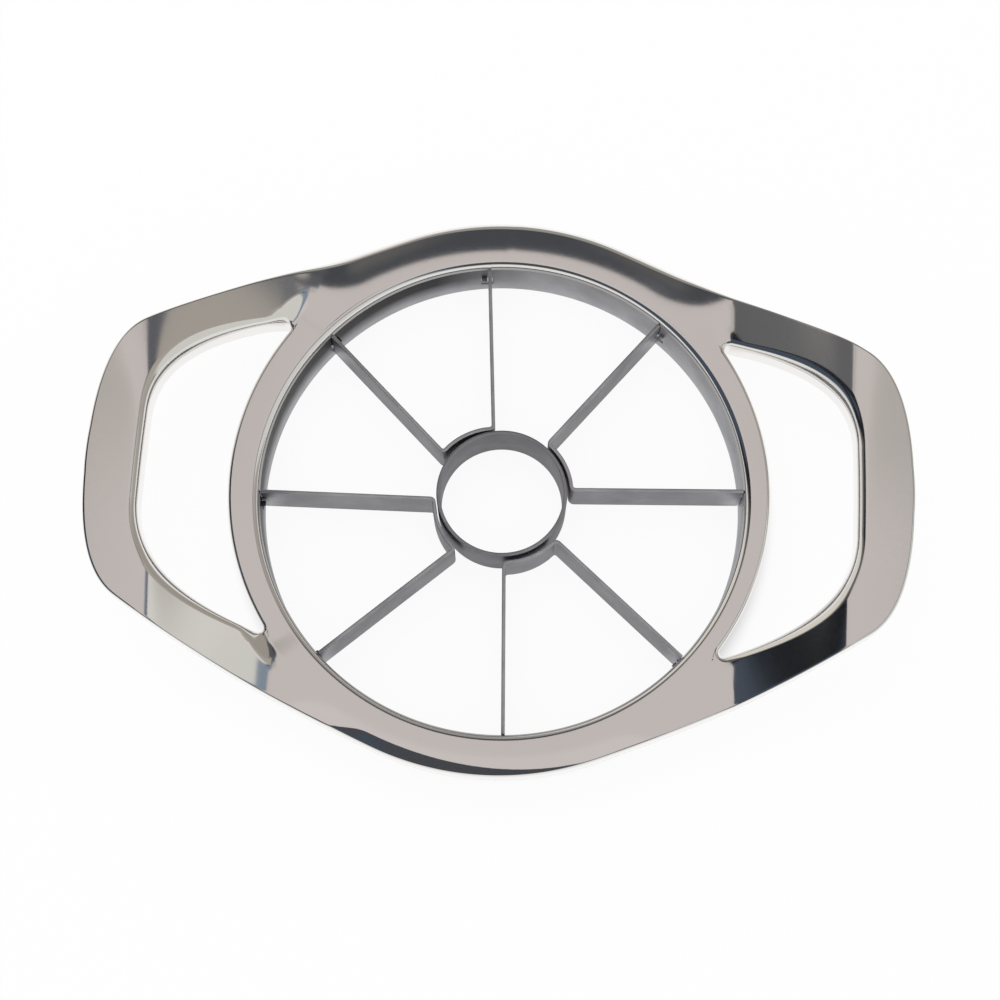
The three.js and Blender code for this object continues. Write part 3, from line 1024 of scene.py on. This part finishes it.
    def strip(self, strip: Strip, material: Material) -> None:
        """Builds one bent strip, ground thin below, with a tongue at each end.

        Args:
            strip: its place.
            material: its finish.
        """
        bm = bmesh.new()
        path = [point + BORE_CENTRE for point in self.path(strip)]
        half = self.blade_thickness / 2
        low, high = (self.tongue_middle + s * self.tongue_height / 2 for s in (-1, 1))
        levels = [(self.blade_lift, self.edge_thickness / 2),
                  (self.blade_lift + self.grind_height, half),
                  (low, half), (high, half), (self.blade_top, half)]
        sides = []
        for sign in (1, -1):
            sides.append([[p + Vector((0, 0, z)) for p in self.beside(path, sign * width)]
                          for z, width in levels])
            skin(bm, sides[-1], Loop.OPEN)
        for k in (0, -1):
            skin(bm, [sides[0][k], sides[1][k]], Loop.OPEN)
            skin(bm, [[row[k] for row in side] for side in sides], Loop.OPEN)
        close(bm)
        reach = self.ring_inner + self.ring_wall - self.blade_end
        for end, inner in ((path[0], path[1]), (path[-1], path[-2])):
            run = (end - inner).normalized()
            tip = [f for f in bm.faces if f.normal.dot(run) > self.tip_facing
                   and low < f.calc_center_median().z / MM < high
                   and (f.calc_center_median() / MM - end).xy.length < half]
            grown = bmesh.ops.extrude_discrete_faces(bm, faces=tip)["faces"]
            bmesh.ops.translate(bm, verts=[v for f in grown for v in f.verts],
                                vec=run * reach * MM)
        self.finish(bm, "blade_strip_" + strip.name, material)


# Stage, light and camera


# Degrees from straight above to the horizon, and the studio's colour where no panel hangs.
HORIZON = 90
ROOM: Colour = (0.27, 0.28, 0.3)


@dataclass(frozen=True)
class Panel:
    """A soft-edged patch of the studio as the metal sees it: its colour and its reach in degrees
    from straight above, to the right (across) and to the back (along)."""

    colour: Colour
    across: Span
    along: Span
    soft: float = 3.0

    def mask(self, bench: NodeBench, across: Socket, along: Socket) -> Socket:
        """Draws where the panel shows.

        Args:
            bench: nodes of the world.
            across: a direction's angle to the right, in degrees.
            along: its angle to the back, in degrees.

        Returns:
            1 on the panel and 0 beyond its soft edges. A side at the horizon has no edge.
        """
        ramps = []
        for angle, (low, high) in ((across, self.across), (along, self.along)):
            for edge, reach in ((low, self.soft), (high, -self.soft)):
                if abs(edge) < HORIZON:
                    span = (edge - reach, edge + reach)
                    ramps.append(bench.remap(angle, span, ease=Ease.SOFT))
        both = ramps[0]
        for ramp in ramps[1:]:
            both = bench.math("MULTIPLY", both, ramp)
        return both


PANELS = (
    # Behind
    Panel((0.35, 0.35, 0.355), (8, 60), (36, 90), 4.0),
    Panel((0.37, 0.365, 0.365), (-60, -10), (36, 90), 4.0),
    Panel((0.6, 0.595, 0.58), (-90, 90), (50, 90), 5.0),
    Panel((0.35, 0.36, 0.385), (10, 26), (13, 35), 1.5),
    # To the left
    Panel((0.26, 0.3, 0.35), (-90, -17), (-90, 5), 3.0),
    Panel((0.39, 0.39, 0.4), (-90, -17), (21, 48), 2.0),
    Panel((0.28, 0.31, 0.36), (-60, -17), (4, 15), 2.0),
    Panel((0.07, 0.08, 0.095), (-90, -17), (13, 20.5), 1.2),
    Panel((0.08, 0.09, 0.105), (-90, -50), (4, 16), 4.0),
    Panel((0.86, 0.84, 0.8), (-90, -38), (32, 90), 4.0),
    # To the right
    Panel((0.83, 0.83, 0.81), (23, 90), (-90, 13), 1.5),
    Panel((0.66, 0.64, 0.61), (18.3, 70), (19, 34), 0.6),
    Panel((0.5, 0.56, 0.62), (15, 23), (-60, 13), 1.0),
    Panel((0.86, 0.855, 0.835), (22, 90), (12, 19), 2.0),
    Panel((0.62, 0.6, 0.57), (27, 80), (33, 90), 2.0),
    Panel((0.5, 0.56, 0.62), (15, 18.3), (13, 22), 1.0),
    # Overhead: the main panel, its duller back corners and its brighter front
    Panel((0.79, 0.765, 0.755), (-17, 14.6), (-12, 30), 0.7),
    Panel((0.35, 0.36, 0.385), (9.7, 15.5), (25, 34), 0.7),
    Panel((0.72, 0.7, 0.685), (-17, -11), (17, 26), 3.0),
    Panel((0.72, 0.7, 0.685), (9, 14.6), (17, 26), 2.0),
    Panel((0.82, 0.795, 0.79), (-17, 14.6), (-12, 0), 1.5),
    # Low in front and at both sides
    Panel((0.93, 0.93, 0.92), (-90, 90), (-90, -50), 8.0),
    Panel((0.9, 0.9, 0.89), (76, 90), (-90, 90), 6.0),
    Panel((0.9, 0.9, 0.89), (-90, -78), (-90, 90), 6.0),
)


@dataclass
class Studio:
    """White floor, studio world and a soft lamp. Their sizes are in metres.

    Reflections see painted shade on the floor under the bore. The camera sees it near white, with
    a painted soft shadow that starts at the edge of the bore.
    """

    ambient: float = 0.85
    floor_size: float = 3.0
    floor_tint: Colour = (0.95, 0.95, 0.95)
    # Painted shade on the floor under the bore, as reflections see it, and painted shadow round
    # the frame's foot, as the camera sees it, each with the radii in metres over which it fades
    # out.
    painted_bore_shade: float = 0.4
    painted_bore_shade_radii: Span = (0.046, 0.056)
    painted_frame_shadow: float = 0.25
    painted_frame_shadow_radii: Span = (0.0505, 0.0585)
    open_radius: float = 0.0503
    glow_share: float = 0.92
    lamp_power: float = 2.0
    lamp_size: float = 0.8
    lamp_place: Axes = (-0.25, 0.35, 0.9)

    def world(self) -> None:
        """Builds the world: white to the camera, panels to reflections, plain light elsewhere."""
        world = bpy.data.worlds.new("studio")
        bpy.context.scene.world = world
        world.use_nodes = True
        bench = NodeBench(world.node_tree)
        facing = bench.add("SeparateXYZ", {0: bench.add("TexCoord").outputs["Generated"]}).outputs
        across, along = (
            bench.math("MULTIPLY", bench.math("ARCTAN2", facing[i], facing[2]), math.degrees(1))
            for i in (0, 1))
        colour = bench.add("RGB").outputs[0]
        colour.default_value = linear(ROOM)
        for panel in PANELS:
            mask = panel.mask(bench, across, along)
            colour = bench.blend(mask, colour, linear(panel.colour))
        plain, seen, mirrored = (
            bench.add("Background", {"Color": tint, "Strength": strength}).outputs[0]
            for tint, strength in ((WHITE, self.ambient), (WHITE, 1.0), (colour, 1.0)))
        path = bench.add("LightPath").outputs
        lit = bench.shades(plain, mirrored, path["Is Glossy Ray"])
        whole = bench.shades(lit, seen, path["Is Camera Ray"])
        bench.add("OutputWorld", {"Surface": whole})

    def floor_material(self) -> Material:
        """Builds the floor's material.

        Returns:
            The material.
        """
        made, bench, place = fresh_material("floor")
        path = bench.add("LightPath").outputs
        off = bench.add("VectorMath", {0: place, 1: BORE_CENTRE * -MM}).outputs[0]
        radius = bench.add("VectorMath", {0: off}, operation="LENGTH").outputs["Value"]
        cloth = bench.add("BsdfDiffuse", {"Color": (*self.floor_tint, 1)}).outputs[0]
        # Painted shade under the bore for reflections, and painted shadow round the frame's foot
        # for the camera, by distance from the bore's axis.
        reflected = bench.remap(radius, self.painted_bore_shade_radii, (self.painted_bore_shade, 1.0))
        shadow = bench.remap(radius, self.painted_frame_shadow_radii, (self.painted_frame_shadow, 1.0), Ease.SOFT)
        shadow = bench.math("MAXIMUM", shadow, bench.math("LESS_THAN", radius, self.open_radius))
        glow, mirrored = (bench.add("Emission", {"Color": WHITE, "Strength": strength}).outputs[0]
                          for strength in (shadow, reflected))
        share = bench.math("MULTIPLY", path["Is Camera Ray"], self.glow_share)
        seen = bench.shades(cloth, glow, share)
        whole = bench.shades(seen, mirrored, path["Is Glossy Ray"])
        bench.add("OutputMaterial", {"Surface": whole})
        return made

    def floor(self) -> None:
        """Builds the floor."""
        bm = bmesh.new()
        bmesh.ops.create_grid(bm, x_segments=1, y_segments=1, size=self.floor_size / 2)
        floor = shown(bm, "floor", self.floor_material())

    def lamp(self) -> None:
        """Adds a large soft lamp above and behind the object, unseen by reflections."""
        data = bpy.data.lights.new("soft_lamp", "AREA")
        data.energy = self.lamp_power
        data.size = self.lamp_size
        lamp = bpy.data.objects.new("soft_lamp", data)
        lamp.location = self.lamp_place
        lamp.rotation_euler = (-lamp.location).to_track_quat("-Z", "Y").to_euler()
        lamp.visible_glossy = False
        bpy.context.scene.collection.objects.link(lamp)

    def build(self) -> None:
        """Builds the studio and sets the plain view transform."""
        self.world()
        self.floor()
        self.lamp()
        bpy.context.scene.view_settings.view_transform = "Standard"
        log.info("studio: %d panels", len(PANELS))


@dataclass
class Viewpoint:
    """The camera, as fitted to the circles of the bore and the rings.

    Distances are in millimetres from the middle of the bore in the frame's face, the lens
    in pixels of the picture.
    """

    distance: float = 350.0
    elevation: float = 74.137
    turn: float = 3.066
    right: float = -0.374
    up: float = -1.819
    focal_pixels: float = 1700.65
    picture_pixels: float = 1000.0
    sensor: float = 36.0
    clip_start: float = 10.0

    def build(self) -> None:
        """Places the camera and makes it the scene's."""
        tilt = math.radians(self.elevation)
        spin = Matrix.Rotation(math.radians(self.turn), 3, "Z")
        right = spin @ Vector((1, 0, 0))
        back = spin @ Vector((0, -math.cos(tilt), math.sin(tilt)))
        up = spin @ Vector((0, math.sin(tilt), math.cos(tilt)))
        centre = BORE_CENTRE + Vector((0, 0, FACE_HEIGHT))
        place = (centre + back * self.distance + right * self.right + up * self.up) * MM
        data = bpy.data.cameras.new("camera")
        data.sensor_fit = "HORIZONTAL"
        data.sensor_width = self.sensor
        data.lens = self.sensor * self.focal_pixels / self.picture_pixels
        data.clip_start = self.clip_start * MM
        camera = bpy.data.objects.new("camera", data)
        camera.matrix_world = Matrix((right, up, back)).transposed().to_4x4()
        camera.matrix_world.translation = place
        bpy.context.scene.collection.objects.link(camera)
        bpy.context.scene.camera = camera


def main() -> None:
    """Builds the camera, the studio and the slicer's pieces."""
    logging.basicConfig(level=logging.INFO, format="%(name)s: %(message)s")
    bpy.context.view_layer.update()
    Viewpoint().build()
    Studio().build()
    polished = PolishedMetal().material()
    satin = SatinSteel().material()
    CastFrame().build(polished)
    cutter = Cutter()
    # The blade ring's satin steel, with painted shade high up under the frame's lip.
    cutter.ring(SatinSteel("satin_ring", painted_lip_shade=0.95).material())
    # The core ring takes a darker copy of the satin steel: painted shade, where it stands deep in
    # the bore among the strips.
    cutter.core(SatinSteel("satin_core_shaded", (0.68, 0.68, 0.7), (0.6, 0.6, 0.62)).material())
    for strip in STRIPS:
        cutter.strip(strip, satin)


if __name__ == "__main__":
    main()
